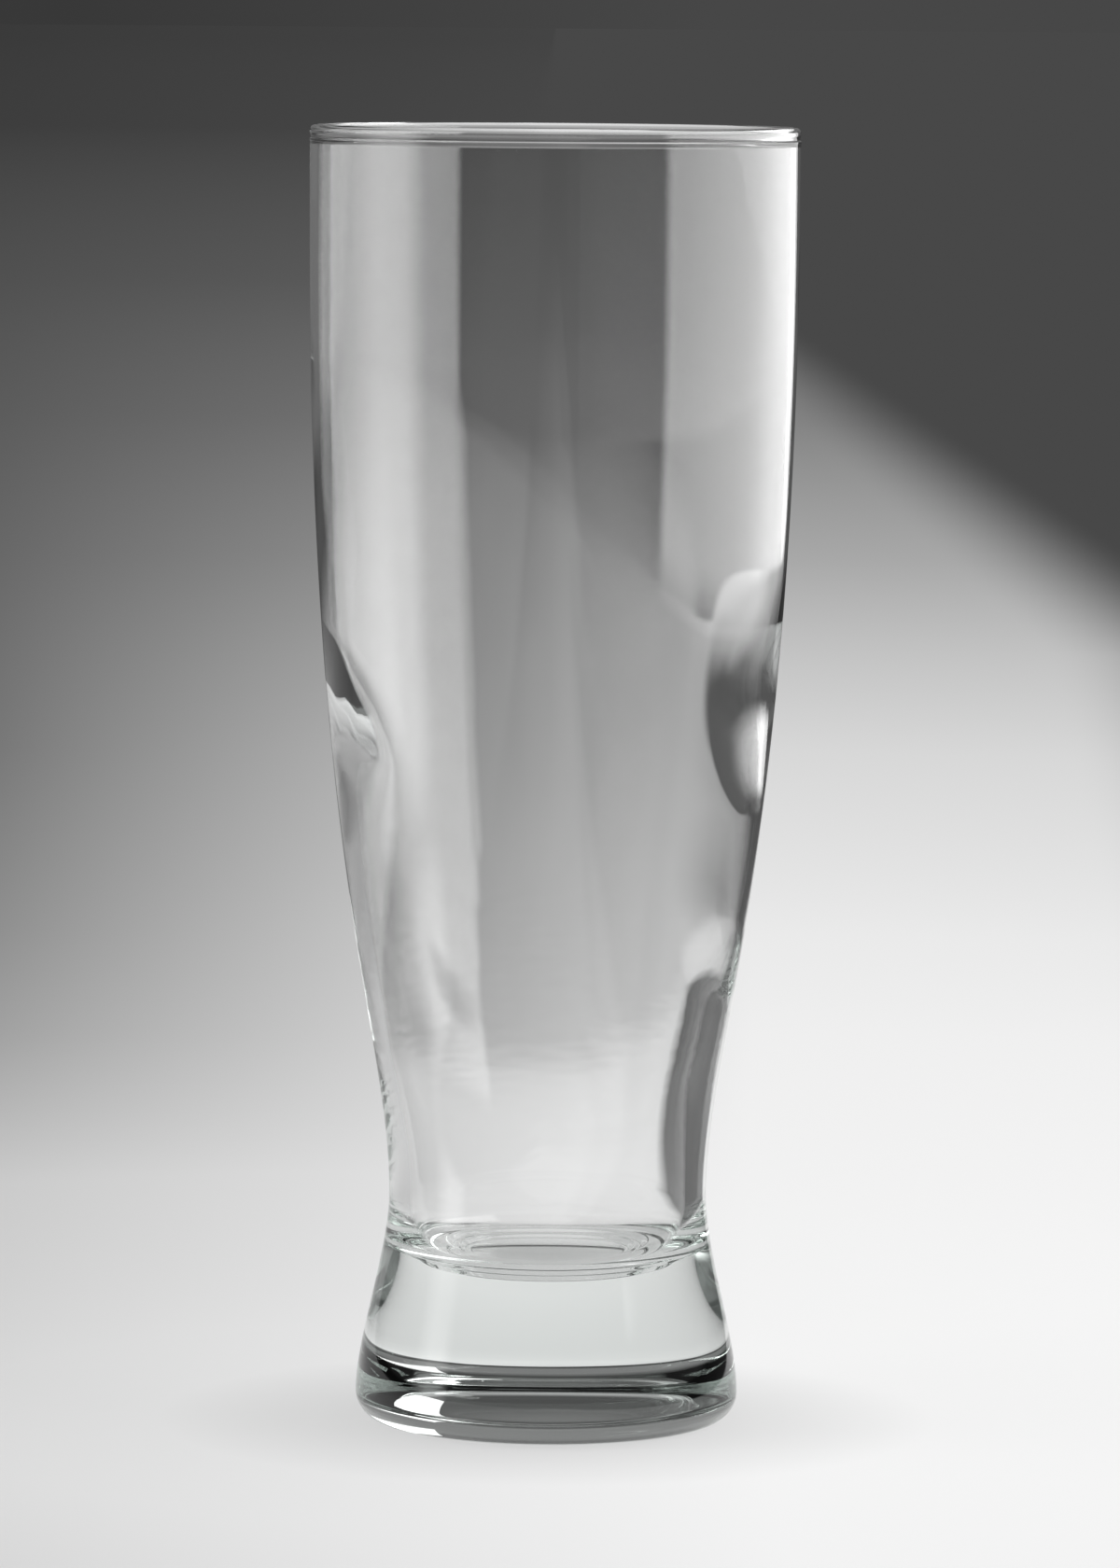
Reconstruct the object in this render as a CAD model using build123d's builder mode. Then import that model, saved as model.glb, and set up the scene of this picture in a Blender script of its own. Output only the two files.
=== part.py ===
from build123d import *
import os

# Tall footed pilsner glass in clear glass. Millimetres, +Z up.
# The origin lies on the axis of the glass, on the surface that the foot rests on.

# Outside of the glass
glass_height = 206.0        # resting surface to the top of the lip
mouth_radius = 38.75        # upright wall below the bead
upright_depth = 11.0        # upright wall, measured down from the lip
waist_radius = 25.3         # narrowest ring, where the bowl meets the foot
waist_height = 36.0         # waist above the resting surface
foot_radius = 30.5          # widest ring of the foot
foot_edge_radius = 4.5      # rounding from the flank of the foot to its underside

# Inside of the glass
lip_wall = 1.4              # wall below the bead
waist_wall = 3.3            # wall at the waist
inner_upright_depth = 16.0  # upright inner wall, measured down from the lip
neck_height = 4.0           # upright inner wall above the waist
well_depth = 12.4           # waist down to the floor of the well
well_corner = 4.8           # width of the rounded corner between wall and upper ring
ring_width = 2.2            # each of the two low rings round the floor of the well
ring_rise = 1.3             # height of each of those rings

# Bead at the lip
bead_height = 3.0           # joint with the bowl up to the top of the lip
bead_thickness = 2.0        # across the rounded top
bead_proud = 0.1            # how far the bead stands out past the wall

# Underside of the foot
rest_ring_width = 2.0       # flat ring that touches the table
punt_depth = 0.8            # shallow hollow with a flat middle
punt_slope_width = 3.0      # slope from the resting ring up to that flat

# How far each curve keeps to the direction that it starts and ends in
bowl_low_pull = 26.0
bowl_high_pull = 108.0
cavity_low_pull = 44.0
cavity_high_pull = 116.0
flank_low_pull = 8.0
flank_high_pull = 9.0
well_ring_pull = 3.6
well_wall_pull = 9.0

# Radii and heights that follow from the sizes above
inner_mouth_radius = mouth_radius - lip_wall
inner_waist_radius = waist_radius - waist_wall
bead_base = glass_height - bead_height
bead_centre = glass_height - bead_thickness / 2
bead_outer_radius = mouth_radius + bead_proud
bead_inner_radius = bead_outer_radius - bead_thickness
bead_pull = (bead_centre - bead_base) / 2
floor_height = waist_height - well_depth
lower_ring_height = floor_height + ring_rise
upper_ring_height = lower_ring_height + ring_rise
upper_ring_radius = inner_waist_radius - well_corner
lower_ring_radius = upper_ring_radius - ring_width
floor_radius = lower_ring_radius - ring_width
rest_outer_radius = foot_radius - foot_edge_radius
punt_radius = rest_outer_radius - rest_ring_width
punt_flat_radius = punt_radius - punt_slope_width


def upright_curve(low, high, low_pull, high_pull):
    # A smooth curve that leaves its low end and reaches its high end upright.
    low_handle = (low[0], low[1] + low_pull)
    high_handle = (high[0], high[1] - high_pull)
    return Bezier(low, low_handle, high_handle, high)


def level_curve(start, end):
    # A smooth step that leaves its start and reaches its end level.
    middle = (start[0] + end[0]) / 2
    return Bezier(start, (middle, start[1]), (middle, end[1]), end)


# Rim bead: the rounded ring of glass at the lip
with BuildPart() as rim_bead:
    with BuildSketch(Plane.XZ):
        with BuildLine():
            outside = upright_curve(
                (mouth_radius, bead_base), (bead_outer_radius, bead_centre), bead_pull, bead_pull
            )
            inside = upright_curve(
                (inner_mouth_radius, bead_base), (bead_inner_radius, bead_centre), bead_pull, bead_pull
            )
            crown = (bead_outer_radius - bead_thickness / 2, glass_height)
            ThreePointArc(outside @ 1, crown, inside @ 1)
            Line(inside @ 0, outside @ 0)
        make_face()
    revolve(axis=Axis.Z)
rim_bead.part.label = "rim_bead"

# Bowl: the open wall from the waist to the bead, thick below and thin above
with BuildPart() as bowl:
    with BuildSketch(Plane.XZ):
        with BuildLine():
            outside = upright_curve(
                (waist_radius, waist_height),
                (mouth_radius, glass_height - upright_depth),
                bowl_low_pull,
                bowl_high_pull,
            )
            inside = upright_curve(
                (inner_waist_radius, waist_height + neck_height),
                (inner_mouth_radius, glass_height - inner_upright_depth),
                cavity_low_pull,
                cavity_high_pull,
            )
            Polyline(
                outside @ 1,
                (mouth_radius, bead_base),
                (inner_mouth_radius, bead_base),
                inside @ 1,
            )
            Polyline(
                inside @ 0,
                (inner_waist_radius, waist_height),
                outside @ 0,
            )
        make_face()
    revolve(axis=Axis.Z)
bowl.part.label = "bowl"

# Foot: the thick flared base, with the ringed well on top and the punt underneath
with BuildPart() as foot:
    with BuildSketch(Plane.XZ):
        with BuildLine():
            punt_slope = level_curve((punt_flat_radius, punt_depth), (punt_radius, 0))
            rest_ring = Line(punt_slope @ 1, (rest_outer_radius, 0))
            edge = TangentArc(
                rest_ring @ 1, (foot_radius, foot_edge_radius), tangent=rest_ring % 1
            )
            flank = Bezier(
                edge @ 1,
                (foot_radius, foot_edge_radius + flank_low_pull),
                (waist_radius, waist_height - flank_high_pull),
                (waist_radius, waist_height),
            )
            seat = Line(flank @ 1, (inner_waist_radius, waist_height))
            Bezier(
                seat @ 1,
                (inner_waist_radius, waist_height - well_wall_pull),
                (upper_ring_radius + well_ring_pull, upper_ring_height),
                (upper_ring_radius, upper_ring_height),
            )
            level_curve((upper_ring_radius, upper_ring_height), (lower_ring_radius, lower_ring_height))
            inner_ring = level_curve(
                (lower_ring_radius, lower_ring_height), (floor_radius, floor_height)
            )
            Polyline(inner_ring @ 1, (0, floor_height), (0, punt_depth), punt_slope @ 0)
        make_face()
    revolve(axis=Axis.Z)
foot.part.label = "foot"

os.makedirs("parts", exist_ok=True)
export_step(rim_bead.part, "parts/rim_bead.step")
export_step(bowl.part, "parts/bowl.step")
export_step(foot.part, "parts/foot.step")
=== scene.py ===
import math

import bmesh
import bpy
from mathutils import Matrix, Vector


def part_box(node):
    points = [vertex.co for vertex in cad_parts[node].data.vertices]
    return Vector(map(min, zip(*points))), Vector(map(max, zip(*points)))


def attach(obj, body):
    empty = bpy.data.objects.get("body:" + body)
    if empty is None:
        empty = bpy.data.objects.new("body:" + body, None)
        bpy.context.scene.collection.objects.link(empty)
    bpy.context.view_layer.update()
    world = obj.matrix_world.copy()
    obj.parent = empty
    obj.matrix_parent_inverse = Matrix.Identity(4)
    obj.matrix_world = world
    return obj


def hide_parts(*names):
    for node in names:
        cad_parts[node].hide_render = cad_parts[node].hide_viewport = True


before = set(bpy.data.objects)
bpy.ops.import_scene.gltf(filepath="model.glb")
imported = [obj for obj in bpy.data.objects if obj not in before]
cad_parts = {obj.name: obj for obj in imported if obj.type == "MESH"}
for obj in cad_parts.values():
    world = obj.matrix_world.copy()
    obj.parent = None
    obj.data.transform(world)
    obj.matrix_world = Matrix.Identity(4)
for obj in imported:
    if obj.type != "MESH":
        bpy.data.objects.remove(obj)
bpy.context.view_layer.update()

scene = bpy.context.scene
scene.view_settings.view_transform = "Standard"
mm = 0.001
print("frame loaded:", sorted(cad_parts))

# where the CAD pieces are, which every outline below is tied to
glass = {
    "lipHeight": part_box("rim_bead")[1].z,
    "beadBase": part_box("bowl")[1].z,
    "waistHeight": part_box("foot")[1].z,
    "mouthRadius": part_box("bowl")[1].x,
    "beadRadius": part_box("rim_bead")[1].x,
    "footRadius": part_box("foot")[1].x,
    "waistRadius": 25.3 * mm,
    "lipWall": 1.4 * mm,
    "waistWall": 3.3 * mm,
    "fusedGap": 0.002 * mm,  # hairline between pieces, so that no two faces share a plane
    "segments": 192,
}


# adds nodes to a tree, for materials, lights and geometry; a value is a socket or a number
class Nodes:
    def __init__(self, tree):
        self.tree = tree
        self.link = tree.links.new

    def add(self, kind, **settings):
        node = self.tree.nodes.new(kind)
        for name, value in settings.items():
            setattr(node, name, value)
        return node

    def feed(self, socket, value):
        if isinstance(value, bpy.types.NodeSocket):
            self.link(value, socket)
        else:
            socket.default_value = value

    def math(self, operation, a, b=0.0):
        node = self.add("ShaderNodeMath", operation=operation)
        self.feed(node.inputs[0], a)
        self.feed(node.inputs[1], b)
        return node.outputs[0]

    def plus(self, a, b):
        return self.math("ADD", a, b)

    def minus(self, a, b):
        return self.math("SUBTRACT", a, b)

    def times(self, a, b):
        return self.math("MULTIPLY", a, b)

    def over(self, a, b):
        return self.math("DIVIDE", a, b)

    def largest(self, a, b):
        return self.math("MAXIMUM", a, b)

    def ranged(self, value, low, high, atLow=0.0, atHigh=1.0, kind="LINEAR"):
        node = self.add("ShaderNodeMapRange", interpolation_type=kind)
        labels = ("Value", "From Min", "From Max", "To Min", "To Max")
        for label, given in zip(labels, (value, low, high, atLow, atHigh)):
            self.feed(node.inputs[label], given)
        return node.outputs["Result"]

    def ease(self, value, low, high, atLow=0.0, atHigh=1.0):
        return self.ranged(value, low, high, atLow, atHigh, "SMOOTHSTEP")

    def split(self, vector):
        node = self.add("ShaderNodeSeparateXYZ")
        self.link(vector, node.inputs[0])
        return node.outputs["X"], node.outputs["Y"], node.outputs["Z"]

    def ramp(self, place, stops):
        node = self.add("ShaderNodeValToRGB")
        self.link(place, node.inputs["Fac"])
        elements = node.color_ramp.elements
        while len(elements) < len(stops):
            elements.new(0.5)
        for element, (position, tone) in zip(elements, stops):
            element.position = position
            element.color = (tone, tone, tone, 1)
        return node.outputs["Color"]

    def mix(self, factor, a, b):
        node = self.add("ShaderNodeMix", data_type="RGBA")
        for label, value in (("Factor", factor), ("A", a), ("B", b)):
            self.link(value, node.inputs[label])
        return node.outputs["Result"]

    def lighter(self, a, b):
        node = self.add("ShaderNodeVectorMath", operation="MAXIMUM")
        self.link(a, node.inputs[0])
        self.link(b, node.inputs[1])
        return node.outputs[0]

    def scaled(self, tone, scale):
        node = self.add("ShaderNodeVectorMath", operation="SCALE")
        self.link(tone, node.inputs[0])
        self.feed(node.inputs["Scale"], scale)
        return node.outputs[0]


# clear glass, one material for all three pieces
clearGlassLook = {
    "ior": 1.52,
    "absorbColor": (0.84, 0.92, 0.88, 1.0),
    "absorbDensity": 7.0,  # per metre
    "roughness": 0.0,
}


def makeClearGlass(name, look):
    material = bpy.data.materials.new(name)
    material.use_nodes = True
    n = Nodes(material.node_tree)
    shader = n.tree.nodes["Principled BSDF"]
    shader.inputs["Base Color"].default_value = (1, 1, 1, 1)
    shader.inputs["Transmission Weight"].default_value = 1.0
    shader.inputs["Roughness"].default_value = look["roughness"]
    # the flat rings where pieces are fused bend no light
    fused = n.add("ShaderNodeAttribute", attribute_name="fused").outputs["Fac"]
    n.link(n.ranged(fused, 0.0, 1.0, look["ior"], 1.0), shader.inputs["IOR"])
    absorb = n.add("ShaderNodeVolumeAbsorption")
    absorb.inputs["Color"].default_value = look["absorbColor"]
    absorb.inputs["Density"].default_value = look["absorbDensity"]
    n.link(absorb.outputs["Volume"], n.tree.nodes["Material Output"].inputs["Volume"])
    return material


clearGlass = makeClearGlass("clearGlass", clearGlassLook)
print("glass mixed")


# geometry nodes that draw an outline in radius and height, turn it and move its walls
class Turning(Nodes):
    def __init__(self, name, sizes):
        super().__init__(bpy.data.node_groups.new(name, "GeometryNodeTree"))
        self.sizes = sizes
        self.spans = []
        socket = self.tree.interface.new_socket
        socket("Geometry", in_out="OUTPUT", socket_type="NodeSocketGeometry")
        for label in sizes:
            socket(label, in_out="INPUT", socket_type="NodeSocketFloat")
        socket("Glass", in_out="INPUT", socket_type="NodeSocketMaterial")
        self.given = self.add("NodeGroupInput")

    def feed(self, socket, value):
        # a name stands for the input of that name
        if isinstance(value, str):
            value = self.given.outputs[value]
        super().feed(socket, value)

    def point(self, radius, height, depth=0.0):
        node = self.add("ShaderNodeCombineXYZ")
        for socket, value in zip(node.inputs, (radius, height, depth)):
            self.feed(socket, value)
        return node.outputs[0]

    # spans of the outline; inside runs from 0 on the outer wall to 1 on the inner one
    def keep(self, curve, insideStart, insideEnd):
        along = self.add("GeometryNodeSplineParameter").outputs["Factor"]
        inside = self.plus(self.times(along, insideEnd - insideStart), insideStart)
        mark = self.add("GeometryNodeStoreNamedAttribute", data_type="FLOAT", domain="POINT")
        mark.inputs["Name"].default_value = "inside"
        self.feed(mark.inputs["Value"], inside)
        self.link(curve, mark.inputs["Geometry"])
        self.spans.append(mark.outputs["Geometry"])

    def bend(self, start, startHandle, endHandle, end, steps, inside=0.0):
        node = self.add("GeometryNodeCurvePrimitiveBezierSegment", mode="POSITION")
        node.inputs["Resolution"].default_value = steps
        self.feed(node.inputs["Start"], start)
        self.feed(node.inputs["Start Handle"], startHandle)
        self.feed(node.inputs["End Handle"], endHandle)
        self.feed(node.inputs["End"], end)
        self.keep(node.outputs["Curve"], inside, inside)

    def rise(self, startRadius, startHeight, endRadius, endHeight, steps, inside=0.0):
        # leaves and arrives upright
        middle = self.times(self.plus(startHeight, endHeight), 0.5)
        self.bend(self.point(startRadius, startHeight), self.point(startRadius, middle),
                  self.point(endRadius, middle), self.point(endRadius, endHeight), steps, inside)

    def step(self, startRadius, startHeight, endRadius, endHeight, steps, inside=0.0):
        # leaves and arrives level
        middle = self.times(self.plus(startRadius, endRadius), 0.5)
        self.bend(self.point(startRadius, startHeight), self.point(middle, startHeight),
                  self.point(middle, endHeight), self.point(endRadius, endHeight), steps, inside)

    def straight(self, start, end, steps, insideStart=0.0, insideEnd=0.0):
        node = self.add("GeometryNodeCurvePrimitiveLine", mode="POINTS")
        self.feed(node.inputs["Start"], start)
        self.feed(node.inputs["End"], end)
        even = self.add("GeometryNodeResampleCurve", mode="COUNT")
        even.inputs["Count"].default_value = steps + 1
        self.link(node.outputs["Curve"], even.inputs["Curve"])
        self.keep(even.outputs["Curve"], insideStart, insideEnd)

    def arc(self, start, middle, end, steps, insideStart=0.0, insideEnd=0.0):
        node = self.add("GeometryNodeCurveArc", mode="POINTS")
        node.inputs["Resolution"].default_value = steps + 1
        self.feed(node.inputs["Start"], start)
        self.feed(node.inputs["Middle"], middle)
        self.feed(node.inputs["End"], end)
        self.keep(node.outputs["Curve"], insideStart, insideEnd)

    def weld(self, shape):
        node = self.add("GeometryNodeMergeByDistance")
        node.inputs["Distance"].default_value = 0.0001 * mm
        self.link(shape, node.inputs["Geometry"])
        return node.outputs["Geometry"]

    def turn(self):
        join = self.add("GeometryNodeJoinGeometry")
        for span in reversed(self.spans):
            self.link(span, join.inputs[0])
        wire = self.add("GeometryNodeCurveToMesh")
        self.link(join.outputs[0], wire.inputs["Curve"])
        outline = self.add("GeometryNodeMeshToCurve")
        self.link(self.weld(wire.outputs["Mesh"]), outline.inputs["Mesh"])
        pathRadius = 20 * mm  # taken off the outline again
        place = self.add("GeometryNodeTransform")
        place.inputs["Translation"].default_value = (-pathRadius, 0, 0)
        place.inputs["Scale"].default_value = (1, -1, 1)
        self.link(outline.outputs["Curve"], place.inputs["Geometry"])
        circle = self.add("GeometryNodeCurvePrimitiveCircle")
        circle.inputs["Resolution"].default_value = glass["segments"]
        circle.inputs["Radius"].default_value = pathRadius
        upright = self.add("GeometryNodeSetCurveNormal", mode="Z_UP")
        self.link(circle.outputs["Curve"], upright.inputs["Curve"])
        sweep = self.add("GeometryNodeCurveToMesh")
        self.link(upright.outputs["Curve"], sweep.inputs["Curve"])
        self.link(place.outputs["Geometry"], sweep.inputs["Profile Curve"])
        return self.weld(sweep.outputs["Mesh"])  # closes the poles

    def where(self):
        return self.split(self.add("GeometryNodeInputPosition").outputs[0])

    def radiusOf(self, x, y):
        return self.math("POWER", self.plus(self.times(x, x), self.times(y, y)), 0.5)

    def insideShare(self):
        node = self.add("GeometryNodeInputNamedAttribute", data_type="FLOAT")
        node.inputs["Name"].default_value = "inside"
        return node.outputs["Attribute"]

    def ripple(self, width, height, seed, detail=1.0):
        # from -1 to 1, in waves about as wide and as tall as given
        x, y, z = self.where()
        node = self.add("ShaderNodeTexNoise", noise_dimensions="4D")
        place = self.point(self.over(x, width), self.over(y, width), self.over(z, height))
        self.feed(node.inputs["Vector"], place)
        self.feed(node.inputs["W"], seed)
        node.inputs["Scale"].default_value = 1.0
        node.inputs["Detail"].default_value = detail
        return self.minus(self.times(node.outputs[0], 2.0), 1.0)

    def moveOut(self, shape, distance):
        x, y = self.where()[:2]
        share = self.over(distance, self.largest(self.radiusOf(x, y), 1e-9))
        shift = self.add("GeometryNodeSetPosition")
        self.link(shape, shift.inputs["Geometry"])
        self.feed(shift.inputs["Offset"], self.point(self.times(x, share), self.times(y, share)))
        return shift.outputs["Geometry"]

    def marked(self, shape, fusedHeights, cornerAngle=math.radians(50)):
        # smooth all over, sharp at square corners, and the fused rings marked
        smooth = self.add("GeometryNodeSetShadeSmooth", domain="FACE")
        self.link(shape, smooth.inputs["Geometry"])
        corner = self.add("FunctionNodeCompare", operation="GREATER_THAN")
        angle = self.add("GeometryNodeInputMeshEdgeAngle").outputs["Unsigned Angle"]
        self.link(angle, corner.inputs["A"])
        corner.inputs["B"].default_value = cornerAngle
        sharp = self.add("GeometryNodeSetShadeSmooth", domain="EDGE")
        sharp.inputs["Shade Smooth"].default_value = False
        self.link(smooth.outputs["Geometry"], sharp.inputs["Geometry"])
        self.link(corner.outputs["Result"], sharp.inputs["Selection"])
        upward = self.split(self.add("GeometryNodeInputNormal").outputs[0])[2]
        level = self.math("GREATER_THAN", self.math("ABSOLUTE", upward), 0.999)
        height = self.where()[2]
        near = 0.0
        for fusedHeight in fusedHeights:
            gap = self.math("ABSOLUTE", self.minus(height, fusedHeight))
            near = self.plus(near, self.math("LESS_THAN", gap, 0.01 * mm))
        mark = self.add("GeometryNodeStoreNamedAttribute", data_type="FLOAT", domain="FACE")
        mark.inputs["Name"].default_value = "fused"
        self.feed(mark.inputs["Value"], self.times(level, near))
        self.link(sharp.outputs["Geometry"], mark.inputs["Geometry"])
        return mark.outputs["Geometry"]

    def finish(self, shape):
        real = self.add("GeometryNodeRealizeInstances")
        self.link(shape, real.inputs["Geometry"])
        coat = self.add("GeometryNodeSetMaterial")
        self.link(real.outputs["Geometry"], coat.inputs["Geometry"])
        self.feed(coat.inputs["Material"], "Glass")
        self.link(coat.outputs["Geometry"], self.add("NodeGroupOutput").inputs["Geometry"])

    def piece(self, name, material):
        holder = bpy.data.objects.new(name + "Holder", bpy.data.meshes.new(name + "Holder"))
        scene.collection.objects.link(holder)
        modifier = holder.modifiers.new("turning", "NODES")
        modifier.node_group = self.tree
        values = dict(self.sizes, Glass=material)
        for item in self.tree.interface.items_tree:
            if item.in_out == "INPUT":
                modifier[item.identifier] = values[item.name]
        graph = bpy.context.evaluated_depsgraph_get()
        mesh = bpy.data.meshes.new_from_object(holder.evaluated_get(graph))
        bpy.data.objects.remove(holder)
        mesh.name = name
        shell = bmesh.new()
        shell.from_mesh(mesh)
        bmesh.ops.recalc_face_normals(shell, faces=shell.faces[:])
        print(name, "faces", len(shell.faces), "volume ml", round(shell.calc_volume() * 1e6, 2),
              "open edges", sum(not edge.is_manifold for edge in shell.edges))
        shell.to_mesh(mesh)
        shell.free()
        piece = bpy.data.objects.new(name, mesh)
        scene.collection.objects.link(piece)
        return piece


# rim bead: fire-polished ring at the lip, with a small shoulder and a notch under it
beadSizes = {
    "Mouth Radius": glass["mouthRadius"],
    "Lip Wall": glass["lipWall"],
    "Base Height": glass["beadBase"] + glass["fusedGap"] / 2,
    "Shoulder Height": 0.75 * mm,  # above the base
    "Notch Height": 1.05 * mm,
    "Lip Height": glass["lipHeight"],
    "Shoulder Radius": glass["beadRadius"],
    "Notch Radius": glass["beadRadius"] - 0.22 * mm,
    "Bead Radius": glass["beadRadius"] - 0.05 * mm,
    "Bead Thickness": 2.0 * mm,
}


def makeRimBead():
    t = Turning("turnedRimBead", beadSizes)
    half = t.times("Bead Thickness", 0.5)
    crown = t.minus("Lip Height", half)
    shoulder = t.plus("Base Height", "Shoulder Height")
    notch = t.plus("Base Height", "Notch Height")
    innerBead = t.minus("Bead Radius", "Bead Thickness")
    innerMouth = t.minus("Mouth Radius", "Lip Wall")
    t.rise("Mouth Radius", "Base Height", "Shoulder Radius", shoulder, 8)
    t.rise("Shoulder Radius", shoulder, "Notch Radius", notch, 6)
    t.rise("Notch Radius", notch, "Bead Radius", crown, 10)
    t.arc(t.point("Bead Radius", crown), t.point(t.minus("Bead Radius", half), "Lip Height"),
          t.point(innerBead, crown), 24, 0.0, 1.0)
    t.rise(innerBead, crown, innerMouth, "Base Height", 14, 1.0)
    t.straight(t.point(innerMouth, "Base Height"), t.point("Mouth Radius", "Base Height"),
               2, 1.0, 0.0)
    t.finish(t.marked(t.turn(), ["Base Height"]))
    return t.piece("rimBead", clearGlass)


# bowl: thin wall above and thick below, with a slanting settle line between them at the sides
# heights are above the table, and left and right are the camera's
bowlSizes = {
    "Waist Radius": glass["waistRadius"],
    "Waist Height": glass["waistHeight"] + glass["fusedGap"] / 2,
    "Mouth Radius": glass["mouthRadius"],
    "Top Height": glass["beadBase"] - glass["fusedGap"] / 2,
    "Upright Height": glass["lipHeight"] - 11.0 * mm,
    "Low Pull": 26.0 * mm,
    "High Pull": 108.0 * mm,
    "Lip Wall": glass["lipWall"],
    "Thin Wall": 1.2 * mm,
    "Waist Wall": glass["waistWall"],
    "Front Wall": 2.7 * mm,
    "Left Wall": 3.2 * mm,          # settled glass, at its thickest
    "Right Wall": 2.8 * mm,
    "Low Left Wall": 2.5 * mm,
    "Left Low Height": 68.0 * mm,   # low wall up to here
    "Left Full Height": 108.0 * mm,  # and the thickest from here
    "Right Low Height": 42.0 * mm,
    "Right Full Height": 76.0 * mm,
    "Left Thin Height": 95.0 * mm,  # where the front starts to thin out
    "Right Thin Height": 50.0 * mm,
    "Thin Span": 75.0 * mm,
    "Settle Height": 96.0 * mm,
    "Settle Lean": 23.0 * mm,       # higher on the left
    "Left Spread": 18.0 * mm,       # height of the change from thick to thin
    "Right Spread": 14.0 * mm,
    "Settle Bulge": 0.3 * mm,       # under the line, on the left
    "Lump Height": 117.0 * mm,      # a thick spot on the right
    "Lump Reach": 21.0 * mm,
    "Lump Depth": 0.95 * mm,
    "Round Height": 75.0 * mm,      # uneven all round up to here
    "Facing Height": 105.0 * mm,    # and only in front from here
    "Waist Blend": 24.0 * mm,       # back to plain walls at both joints
    "Lip Blend": 50.0 * mm,
    "Lip Plain": 3.0 * mm,
    "Left Side": 0.9,               # leftward shares, 1 at the left and -1 at the right
    "Right Side": -0.9,
    "Bulge From": 0.3,
    "Bulge To": 0.9,
    "Lump From": -0.95,
    "Lump To": -0.65,
    "Uneven From": 0.42,            # the same share, squared
    "Uneven To": 0.88,
    "Front From": -0.05,            # backward share, -1 in front
    "Front To": 0.35,
    "Jitter Depth": 2.0 * mm,       # of the settle line
    "Jitter Width": 22.0 * mm,
    "Jitter Height": 400.0 * mm,
    "Jitter Seed": 4.0,
    "Wave Depth": 0.05 * mm,
    "Wave Width": 14.0 * mm,
    "Wave Height": 26.0 * mm,
    "Wave Seed": 7.0,
    "Wrinkle Depth": 0.012 * mm,    # of the cold glass below
    "Wrinkle Width": 5.0 * mm,
    "Wrinkle Height": 1.4 * mm,
    "Wrinkle Seed": 10.0,
    "Wrinkles Fade": 72.0 * mm,     # from here
    "Wrinkles Gone": 95.0 * mm,
    "Streak Depth": 0.012 * mm,     # of the outside
    "Streak Width": 2.2 * mm,
    "Streak Height": 300.0 * mm,
    "Streak Seed": 13.0,
}


def bowlWall(t):
    x, y, z = t.where()
    radius = t.radiusOf(x, y)
    leftward = t.over(t.times(x, -1.0), radius)

    def sided(right, left):
        return t.ease(leftward, "Right Side", "Left Side", right, left)

    jitter = t.ripple("Jitter Width", "Jitter Height", "Jitter Seed")
    settle = t.plus("Settle Height", t.times("Settle Lean", leftward))
    settle = t.plus(settle, t.times("Jitter Depth", jitter))
    half = t.times(sided("Right Spread", "Left Spread"), 0.5)
    settleLow = t.minus(settle, half)
    lowWall = sided("Waist Wall", "Low Left Wall")
    fullWall = sided("Right Wall", "Left Wall")
    lowHeight = sided("Right Low Height", "Left Low Height")
    fullHeight = sided("Right Full Height", "Left Full Height")
    thick = t.ease(z, lowHeight, fullHeight, lowWall, fullWall)
    settled = t.ease(z, settleLow, t.plus(settle, half), thick, "Thin Wall")
    thinHeight = sided("Right Thin Height", "Left Thin Height")
    plain = t.ranged(z, thinHeight, t.plus(thinHeight, "Thin Span"), "Front Wall", "Thin Wall")
    facing = t.ease(t.over(y, radius), "Front From", "Front To", 1.0, 0.0)
    facing = t.ease(z, "Round Height", "Facing Height", 1.0, facing)
    uneven = t.times(facing, t.ease(t.times(leftward, leftward), "Uneven From", "Uneven To"))
    wall = t.plus(plain, t.times(uneven, t.minus(settled, plain)))

    bulgeGap = t.math("ABSOLUTE", t.minus(z, settleLow))
    bulge = t.ease(bulgeGap, 0.0, t.times(half, 2.0), "Settle Bulge", 0.0)
    bulgeShare = t.ease(leftward, "Bulge From", "Bulge To")
    wall = t.plus(wall, t.times(t.times(bulge, facing), bulgeShare))
    lumpGap = t.math("ABSOLUTE", t.minus(z, "Lump Height"))
    lump = t.ease(lumpGap, 0.0, "Lump Reach", "Lump Depth", 0.0)
    wall = t.plus(wall, t.times(lump, t.ease(leftward, "Lump From", "Lump To", 1.0, 0.0)))
    waves = t.ripple("Wave Width", "Wave Height", "Wave Seed")
    wall = t.plus(wall, t.times("Wave Depth", waves))
    wrinkles = t.ripple("Wrinkle Width", "Wrinkle Height", "Wrinkle Seed")
    cold = t.ease(z, "Wrinkles Fade", "Wrinkles Gone", 1.0, 0.0)
    wall = t.plus(wall, t.times(t.times("Wrinkle Depth", wrinkles), cold))

    low = t.ease(z, "Waist Height", t.plus("Waist Height", "Waist Blend"))
    high = t.ease(z, t.minus("Top Height", "Lip Blend"), t.minus("Top Height", "Lip Plain"), 1.0, 0.0)
    wall = t.plus("Waist Wall", t.times(low, t.minus(wall, "Waist Wall")))
    wall = t.plus("Lip Wall", t.times(high, t.minus(wall, "Lip Wall")))
    return wall, t.times(low, high)


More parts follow.
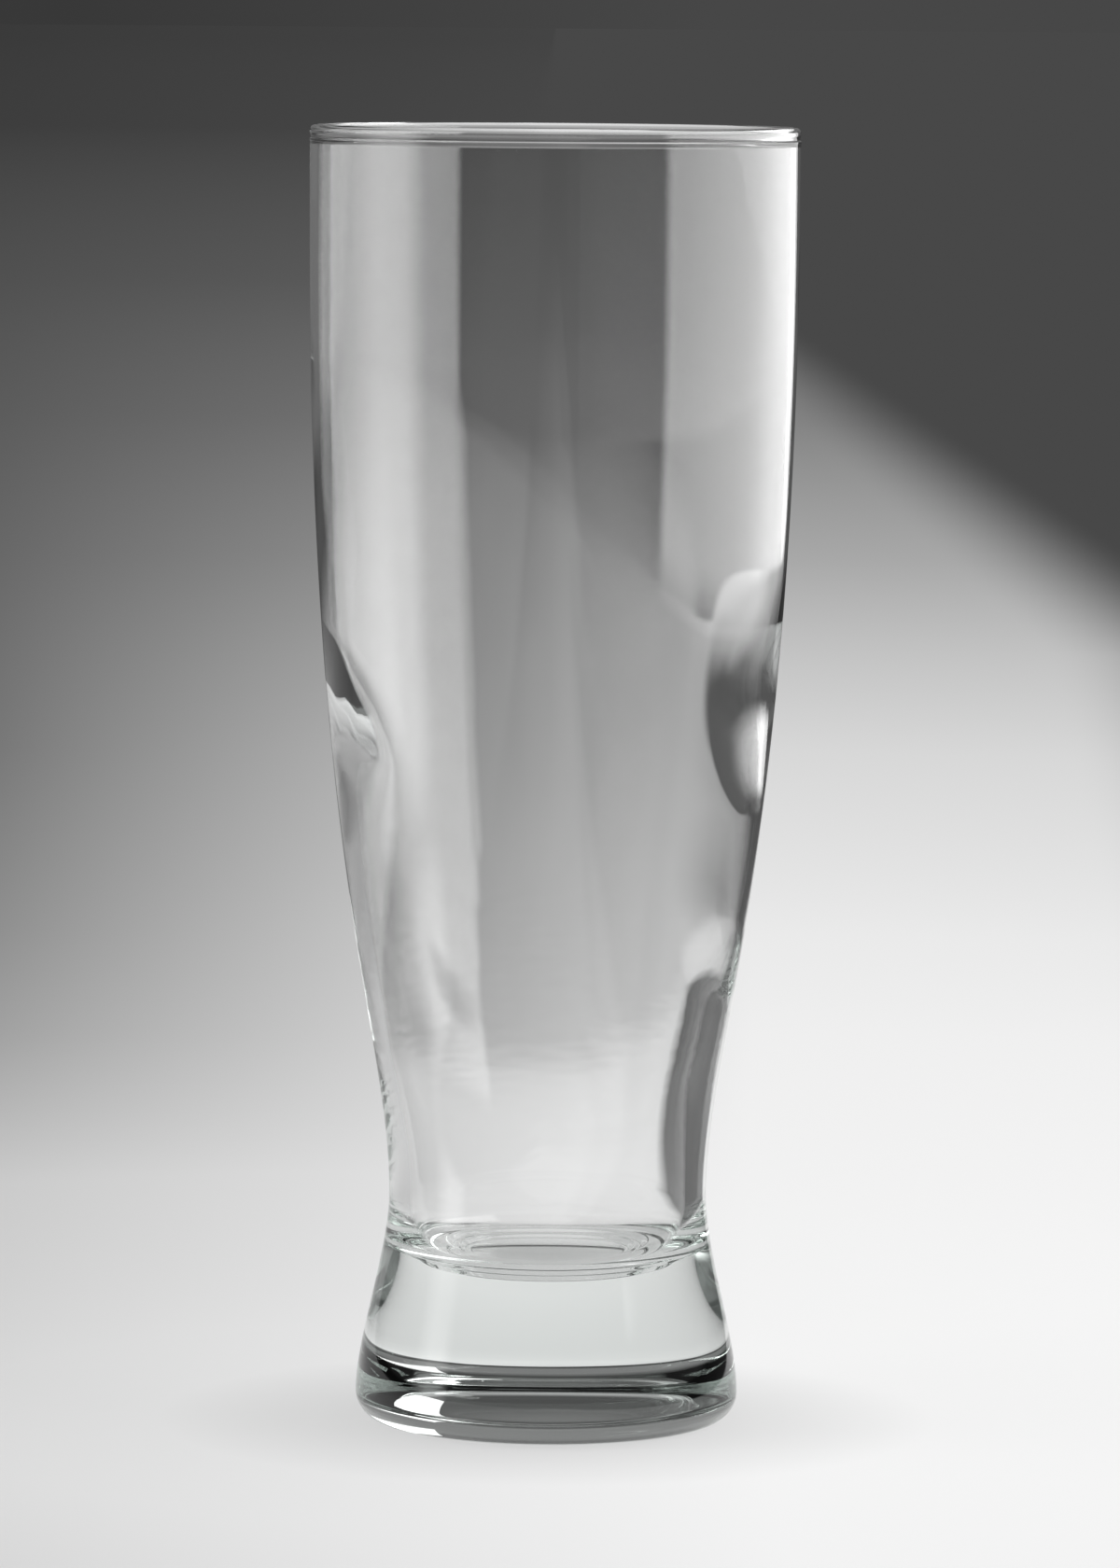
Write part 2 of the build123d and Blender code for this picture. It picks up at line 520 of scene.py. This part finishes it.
def makeBowl():
    t = Turning("turnedBowl", bowlSizes)
    innerMouth = t.minus("Mouth Radius", "Lip Wall")
    innerWaist = t.minus("Waist Radius", "Lip Wall")  # until the wall gets its thickness
    outsideLow = t.point("Waist Radius", "Waist Height")
    insideLow = t.point(innerWaist, "Waist Height")
    outsideTop = t.point("Mouth Radius", "Top Height")
    insideTop = t.point(innerMouth, "Top Height")
    lowHandle = t.plus("Waist Height", "Low Pull")
    highHandle = t.minus("Upright Height", "High Pull")
    t.bend(outsideLow, t.point("Waist Radius", lowHandle), t.point("Mouth Radius", highHandle),
           t.point("Mouth Radius", "Upright Height"), 120)
    t.straight(t.point("Mouth Radius", "Upright Height"), outsideTop, 8)
    t.straight(outsideTop, insideTop, 2, 0.0, 1.0)
    t.straight(insideTop, t.point(innerMouth, "Upright Height"), 12, 1.0, 1.0)
    t.bend(t.point(innerMouth, "Upright Height"), t.point(innerMouth, highHandle),
           t.point(innerWaist, lowHandle), insideLow, 320, 1.0)
    t.straight(insideLow, outsideLow, 2, 1.0, 0.0)
    shape = t.turn()
    wall, free = bowlWall(t)
    inward = t.times(t.insideShare(), t.minus("Lip Wall", wall))
    streaks = t.ripple("Streak Width", "Streak Height", "Streak Seed", detail=2.0)
    streaks = t.times(free, t.times("Streak Depth", streaks))
    outward = t.times(t.minus(1.0, t.insideShare()), streaks)
    shape = t.moveOut(shape, t.plus(inward, outward))
    t.finish(t.marked(shape, ["Waist Height", "Top Height"]))
    return t.piece("glassBowl", clearGlass)


# foot: thick flared base with the ringed well and the punt
footSizes = {
    "Waist Radius": glass["waistRadius"],
    "Waist Wall": glass["waistWall"],
    "Top Height": glass["waistHeight"] - glass["fusedGap"] / 2,
    "Foot Radius": glass["footRadius"],
    "Edge Radius": 4.5 * mm,
    "Flank Low Pull": 8.0 * mm,
    "Flank High Pull": 9.0 * mm,
    "Floor Height": 23.6 * mm,
    "Floor Radius": 12.8 * mm,
    "Lower Ring Height": 24.9 * mm,
    "Lower Ring Radius": 15.0 * mm,
    "Upper Ring Height": 26.2 * mm,
    "Upper Ring Radius": 17.2 * mm,
    "Floor Pull": 3.6 * mm,
    "Wall Pull": 9.0 * mm,
    "Rest Width": 2.0 * mm,
    "Punt Depth": 0.8 * mm,
    "Punt Slope Width": 3.0 * mm,
}


def makeFoot():
    t = Turning("turnedFoot", footSizes)
    restOuter = t.minus("Foot Radius", "Edge Radius")
    puntRadius = t.minus(restOuter, "Rest Width")
    puntFlat = t.minus(puntRadius, "Punt Slope Width")
    corner = t.times("Edge Radius", math.sqrt(0.5))
    innerWaist = t.minus("Waist Radius", "Waist Wall")
    t.straight(t.point(0.0, "Punt Depth"), t.point(puntFlat, "Punt Depth"), 30)
    t.step(puntFlat, "Punt Depth", puntRadius, 0.0, 14)
    t.straight(t.point(puntRadius, 0.0), t.point(restOuter, 0.0), 4)
    t.arc(t.point(restOuter, 0.0),
          t.point(t.plus(restOuter, corner), t.minus("Edge Radius", corner)),
          t.point("Foot Radius", "Edge Radius"), 24)
    t.bend(t.point("Foot Radius", "Edge Radius"),
           t.point("Foot Radius", t.plus("Edge Radius", "Flank Low Pull")),
           t.point("Waist Radius", t.minus("Top Height", "Flank High Pull")),
           t.point("Waist Radius", "Top Height"), 90)
    t.straight(t.point("Waist Radius", "Top Height"), t.point(innerWaist, "Top Height"), 2, 0.0, 1.0)
    t.bend(t.point(innerWaist, "Top Height"),
           t.point(innerWaist, t.minus("Top Height", "Wall Pull")),
           t.point(t.plus("Upper Ring Radius", "Floor Pull"), "Upper Ring Height"),
           t.point("Upper Ring Radius", "Upper Ring Height"), 50, 1.0)
    t.step("Upper Ring Radius", "Upper Ring Height", "Lower Ring Radius", "Lower Ring Height",
           14, 1.0)
    t.step("Lower Ring Radius", "Lower Ring Height", "Floor Radius", "Floor Height", 14, 1.0)
    t.straight(t.point("Floor Radius", "Floor Height"), t.point(0.0, "Floor Height"), 26, 1.0, 1.0)
    t.finish(t.marked(t.turn(), ["Top Height"]))
    return t.piece("glassFoot", clearGlass)


rimBead = makeRimBead()
bowl = makeBowl()
foot = makeFoot()
for piece, node in ((rimBead, "rim_bead"), (bowl, "bowl"), (foot, "foot")):
    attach(piece, "root")
    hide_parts(node)
print("glass turned")


# stage: pale floor with painted light falloff: it darkens with distance, and to the left more than to
# the right
# distances are metres from the glass, and the pairs called Over are where a change starts and ends
floorLook = {
    "radius": 400.0,
    "drop": 0.02 * mm,
    # painted light: the floor glows with its tones, and only the paint share is lit by the lamps
    "glow": 0.85,
    "paint": 0.2,
    "nearest": 0.1,  # the tones run from here
    "farthest": 100.0,  # to here
    "leftTones": ((0.1, 0.68), (0.28, 0.60), (0.5, 0.31), (0.7, 0.21), (1.2, 0.12), (2.1, 0.11),
                  (3.3, 0.10), (5.8, 0.085), (16.0, 0.05), (100.0, 0.045)),
    "rightTones": ((0.1, 0.93), (0.28, 0.94), (0.5, 0.95), (0.7, 0.93), (1.2, 0.78),
                   (1.58, 0.63), (2.1, 0.45), (3.3, 0.26), (5.8, 0.14), (16.0, 0.08),
                   (100.0, 0.073)),
    "throughTones": ((0.1, 0.95), (0.25, 0.97), (0.36, 0.89), (0.45, 0.67), (1.0, 0.60),
                     (1.5, 0.63), (2.0, 0.68), (3.3, 0.66), (5.8, 0.95),
                     (100.0, 1.0)),  # share of the painted glow that comes through the glass
    "asideBase": 1.3,              # aside is metres to the right over this plus the distance
    "asideOver": (-0.083, 0.025),  # from left tones to right tones
    # painted pool of light on the floor: its far edge, to the right, past which the floor is painted
    # dark
    "pastEdge": 0.074,
    "throughEdge": 0.17,           # the same, seen through the glass
    "poolOver": (0.115, 0.20),
    "poolSpread": 0.06,            # it moves out
    "spreadOver": (0.2, 1.6),
    "poolSlant": 0.25,             # and back in
    "slantOver": (1.6, 11.6),
    "throughShift": 0.12,          # through the glass it is nearer
    "throughOver": (1.25, 1.55),
    "farShift": 1.0,               # and far behind it is out of sight
    "farOver": (3.0, 6.0),
    # near edge of the painted light, past which the floor is painted dark, which only the glass sees
    "nearEdge": 0.107,
    "nearSlant": (0.05, 0.3),      # or this plus this share of the distance behind, if that is more
    "nearShift": 0.06,             # through the glass it is nearer
    "nearSoft": 0.02,
    "nearOver": (0.5, 0.7),
    "nearLeft": (-0.045, -0.065),  # and there is one on the left
    "nearLeftOver": (0.08, 0.1),
    # painted light on the floor that the glass sees to its front and left
    "frontTone": 0.14,
    "frontOver": (-0.9, -0.2),     # share of the distance that is behind the glass
    "leftOver": (-0.11, -0.07),    # aside again
    "leftTone": 0.62,
    "leftEndOver": (1.0, 1.7),
    "farLeftTone": 0.19,           # painted light that lights the upper left edge
    "farLeftOver": (1.9, 2.6),
    "farLeftEndOver": (-0.62, -0.42),
    "contactTone": 0.82,           # painted soft shadow close round the foot
    "contactOver": (0.027, 0.062),
}


def toneRamp(n, distance, tones):
    span = math.log10(floorLook["farthest"] / floorLook["nearest"])
    stops = [(math.log10(metres / floorLook["nearest"]) / span, tone) for metres, tone in tones]
    return n.ramp(distance, stops)


# painted pool of light on the right, and painted dark past its far edge
def pastFarEdge(n, look, x, metres, through):
    edge = n.plus(x, n.ranged(metres, *look["slantOver"], 0.0, look["poolSlant"]))
    edge = n.minus(edge, n.ranged(metres, *look["spreadOver"], 0.0, look["poolSpread"]))
    shift = n.ranged(metres, *look["throughOver"], 0.0, look["throughShift"])
    shift = n.minus(shift, n.ranged(metres, *look["farOver"], 0.0, look["farShift"]))
    return n.ease(n.plus(edge, n.times(shift, through)), *look["poolOver"])


# painted dark past the near edge of the light, seen only by the glass
def pastNearEdge(n, look, x, y, metres, path):
    through = path["Is Transmission Ray"]
    least, share = look["nearSlant"]
    edge = n.largest(n.plus(n.times(y, share), least), look["nearEdge"])
    beyond = n.minus(n.plus(x, n.times(through, look["nearShift"])), edge)
    right = n.ranged(beyond, 0.0, look["nearSoft"])
    right = n.times(right, n.ranged(metres, *look["nearOver"], 1.0, 0.0))
    right = n.times(right, n.minus(1.0, path["Is Camera Ray"]))
    left = n.ranged(x, *look["nearLeft"])
    left = n.times(left, n.ranged(metres, *look["nearLeftOver"], 1.0, 0.0))
    return n.largest(right, n.times(left, through))


# painted light on the floor to the front and left, for the glass to see
def sideLight(n, look, y, aside, metres):
    front = n.ease(n.over(y, metres), *look["frontOver"], look["frontTone"], 0.0)
    left = n.ease(aside, *look["leftOver"], look["leftTone"], 0.0)
    left = n.times(left, n.ranged(metres, *look["leftEndOver"], 1.0, 0.0))
    farLeft = n.ease(aside, *look["leftOver"], look["farLeftTone"], 0.0)
    farLeft = n.times(farLeft, n.ranged(metres, *look["farLeftOver"]))
    farLeft = n.times(farLeft, n.ranged(aside, *look["farLeftEndOver"]))
    return n.largest(n.largest(front, left), farLeft)


def makeFloorPaint(look):
    material = bpy.data.materials.new("paleFloorPaintedLight")
    material.use_nodes = True
    n = Nodes(material.node_tree)
    n.tree.nodes.clear()
    path = n.add("ShaderNodeLightPath").outputs
    through = path["Is Transmission Ray"]
    place = n.add("ShaderNodeTexCoord").outputs["Object"]
    x, y = n.split(place)[:2]
    length = n.add("ShaderNodeVectorMath", operation="LENGTH")
    n.link(place, length.inputs[0])
    metres = length.outputs["Value"]
    aside = n.over(x, n.plus(metres, look["asideBase"]))
    distance = n.ranged(n.math("LOGARITHM", metres, 10.0),
                        math.log10(look["nearest"]), math.log10(look["farthest"]))
    leftTone = toneRamp(n, distance, look["leftTones"])
    rightTone = toneRamp(n, distance, look["rightTones"])
    tone = n.mix(n.ranged(aside, *look["asideOver"]), leftTone, rightTone)
    # painted shade past the edges of the painted light
    past = n.largest(pastNearEdge(n, look, x, y, metres, path),
                     pastFarEdge(n, look, x, metres, through))
    tone = n.mix(past, tone, n.ranged(through, 0.0, 1.0, look["pastEdge"], look["throughEdge"]))
    tone = n.lighter(tone, sideLight(n, look, y, aside, metres))
    # painted contact shadow round the foot
    tone = n.scaled(tone, n.ranged(metres, *look["contactOver"], look["contactTone"], 1.0))
    diffuse = n.add("ShaderNodeBsdfDiffuse")
    n.link(n.scaled(tone, look["paint"]), diffuse.inputs["Color"])
    # the backdrop tone glows, painted light and shade included, as the camera, reflections and the
    # glass see it
    mirrored = n.minus(path["Is Glossy Ray"], through)
    seen = n.largest(path["Is Camera Ray"], mirrored)
    seen = n.largest(seen, n.times(through, toneRamp(n, distance, look["throughTones"])))
    glow = n.add("ShaderNodeEmission")
    n.link(tone, glow.inputs["Color"])
    n.link(n.times(seen, look["glow"]), glow.inputs["Strength"])
    both = n.add("ShaderNodeAddShader")
    n.link(diffuse.outputs[0], both.inputs[0])
    n.link(glow.outputs[0], both.inputs[1])
    n.link(both.outputs[0], n.add("ShaderNodeOutputMaterial").inputs["Surface"])
    return material


def makeFloor():
    mesh = bpy.data.meshes.new("floor")
    disc = bmesh.new()
    bmesh.ops.create_circle(disc, cap_ends=True, segments=96, radius=floorLook["radius"])
    bmesh.ops.translate(disc, verts=disc.verts[:], vec=(0, 0, -floorLook["drop"]))
    disc.to_mesh(mesh)
    disc.free()
    mesh.materials.append(makeFloorPaint(floorLook))
    floor = bpy.data.objects.new("floor", mesh)
    scene.collection.objects.link(floor)


makeFloor()


# studio light: upright soft panels at both sides, and a dim one overhead
# start and end are in plan, with the lit face to the left of that line; stops run along it
# fades are shares of the height, and through says if the panel shows through the glass
panels = {
    "leftPanel": {
        "start": (-0.15, 0.064), "end": (-0.15, -0.10), "bottom": 0.048, "top": 0.27,
        "fade": 0.15, "tone": 3.6, "through": False,
        "stops": ((0.0, 0.0), (0.26, 0.14), (0.57, 1.0), (0.79, 1.0), (1.0, 0.0)),
    },
    "lowLeftPanel": {
        "start": (-0.152, -0.02), "end": (-0.152, -0.10), "bottom": 0.0, "top": 0.07,
        "fade": 0.1, "topFade": 0.5, "tone": 2.2, "through": False,
        "stops": ((0.0, 0.0), (0.4, 1.0), (0.7, 1.0), (1.0, 0.0)),
    },
    "rightPanel": {
        "start": (0.25, -0.213), "end": (0.25, 0.55), "bottom": 0.075, "top": 0.27,
        "fade": 0.158, "tone": 3.3, "through": True,
        "stops": ((0.0, 0.0), (0.039, 0.85), (0.22, 1.0), (0.44, 0.88), (0.585, 0.62),
                  (0.73, 0.42), (1.0, 0.35)),
    },
}
topPanel = {"height": 1.3, "size": 1.0, "tone": 0.12}


def lampOf(name, width, depth, tone):
    light = bpy.data.lights.new(name, "AREA")
    light.shape = "RECTANGLE"
    light.size = width
    light.size_y = depth
    light.energy = tone * math.pi * width * depth  # so that tone is its brightness
    lamp = bpy.data.objects.new(name, light)
    lamp.visible_camera = False
    scene.collection.objects.link(lamp)
    return lamp


def makePanel(name, panel):
    start = Vector((*panel["start"], panel["bottom"]))
    end = Vector((*panel["end"], panel["bottom"]))
    along = (end - start).normalized()
    up = Vector((0, 0, 1))
    height = panel["top"] - panel["bottom"]
    lamp = lampOf(name, (end - start).length, height, panel["tone"])
    turn = Matrix((along, up, along.cross(up))).transposed().to_4x4()
    lamp.matrix_world = Matrix.Translation((start + end) / 2 + up * height / 2) @ turn
    lamp.visible_transmission = panel["through"]
    lamp.data.use_nodes = True
    n = Nodes(lamp.data.node_tree)
    across, upward = n.split(n.add("ShaderNodeNewGeometry").outputs["Parametric"])[:2]
    fade = n.ease(upward, 0.0, panel["fade"])
    if "topFade" in panel:
        fade = n.times(fade, n.ease(upward, 1.0 - panel["topFade"], 1.0, 1.0, 0.0))
    emission = n.tree.nodes["Emission"]
    n.link(n.ramp(across, panel["stops"]), emission.inputs["Color"])
    n.link(fade, emission.inputs["Strength"])


for panelName, panelValues in panels.items():
    makePanel(panelName, panelValues)
overhead = lampOf("topPanel", topPanel["size"], topPanel["size"], topPanel["tone"])
overhead.location = (0, 0, topPanel["height"])

# the room beyond the floor, by direction: x to the right, y to the back and z up, each up to 1
roomLook = {
    "backLeft": 0.04,
    "backRight": 0.063,
    "backOver": (-0.06, 0.02),      # x
    "above": 0.21,
    "aboveOver": (0.008, 0.05),     # z
    "overhead": 0.07,
    "overheadOver": (0.17, 0.33),   # z
    "strip": 0.35,                  # a light band high at the back
    "stripHeight": 0.64,
    "stripOver": (0.04, 0.14),
    "stripBackOver": (0.0, 0.3),    # y
    "front": 0.14,
    "frontOver": (-0.9, -0.2),      # y
}


def makeRoom(look):
    world = bpy.data.worlds.new("dimRoom")
    world.use_nodes = True
    n = Nodes(world.node_tree)
    x, y, z = n.split(n.add("ShaderNodeTexCoord").outputs["Generated"])
    back = n.ranged(x, *look["backOver"], look["backLeft"], look["backRight"])
    above = n.ease(z, *look["aboveOver"], 0.0, look["above"])
    above = n.times(above, n.ranged(z, *look["overheadOver"], 1.0, look["overhead"] / look["above"]))
    strip = n.math("ABSOLUTE", n.minus(z, look["stripHeight"]))
    strip = n.ease(strip, *look["stripOver"], look["strip"], 0.0)
    strip = n.times(strip, n.ranged(y, *look["stripBackOver"]))
    front = n.ease(y, *look["frontOver"], look["front"], 0.0)
    tone = n.largest(n.largest(n.plus(above, strip), front), back)
    n.link(tone, n.tree.nodes["Background"].inputs["Color"])
    scene.world = world


makeRoom(roomLook)
print("stage lit")


# camera: where the photograph was taken from
cameraView = {
    "distance": 1.287,  # metres in front of the axis
    "height": 0.222,
    "pitch": -5.339,  # degrees
    "roll": 0.44,
    "yaw": -0.066,
    "focalPixels": 8714,
    "imageHeight": 1680,
    "sensor": 36.0,
    "clip": (0.01, 1000),
}
lightBounces = 32  # enough for both walls and the foot


def makeCamera():
    data = bpy.data.cameras.new("camera")
    data.sensor_width = cameraView["sensor"]
    data.lens = cameraView["sensor"] * cameraView["focalPixels"] / cameraView["imageHeight"]
    data.clip_start, data.clip_end = cameraView["clip"]
    camera = bpy.data.objects.new("camera", data)
    turn = Matrix.Rotation(math.radians(cameraView["yaw"]), 4, "Z")
    tilt = Matrix.Rotation(math.radians(90 + cameraView["pitch"]), 4, "X")
    lean = Matrix.Rotation(math.radians(cameraView["roll"]), 4, "Z")
    place = Matrix.Translation((0, -cameraView["distance"], cameraView["height"]))
    camera.matrix_world = place @ turn @ tilt @ lean
    scene.collection.objects.link(camera)
    scene.camera = camera


makeCamera()
scene.cycles.max_bounces = lightBounces
scene.cycles.transmission_bounces = lightBounces
scene.cycles.glossy_bounces = lightBounces
scene.cycles.transparent_max_bounces = lightBounces
print("camera set")
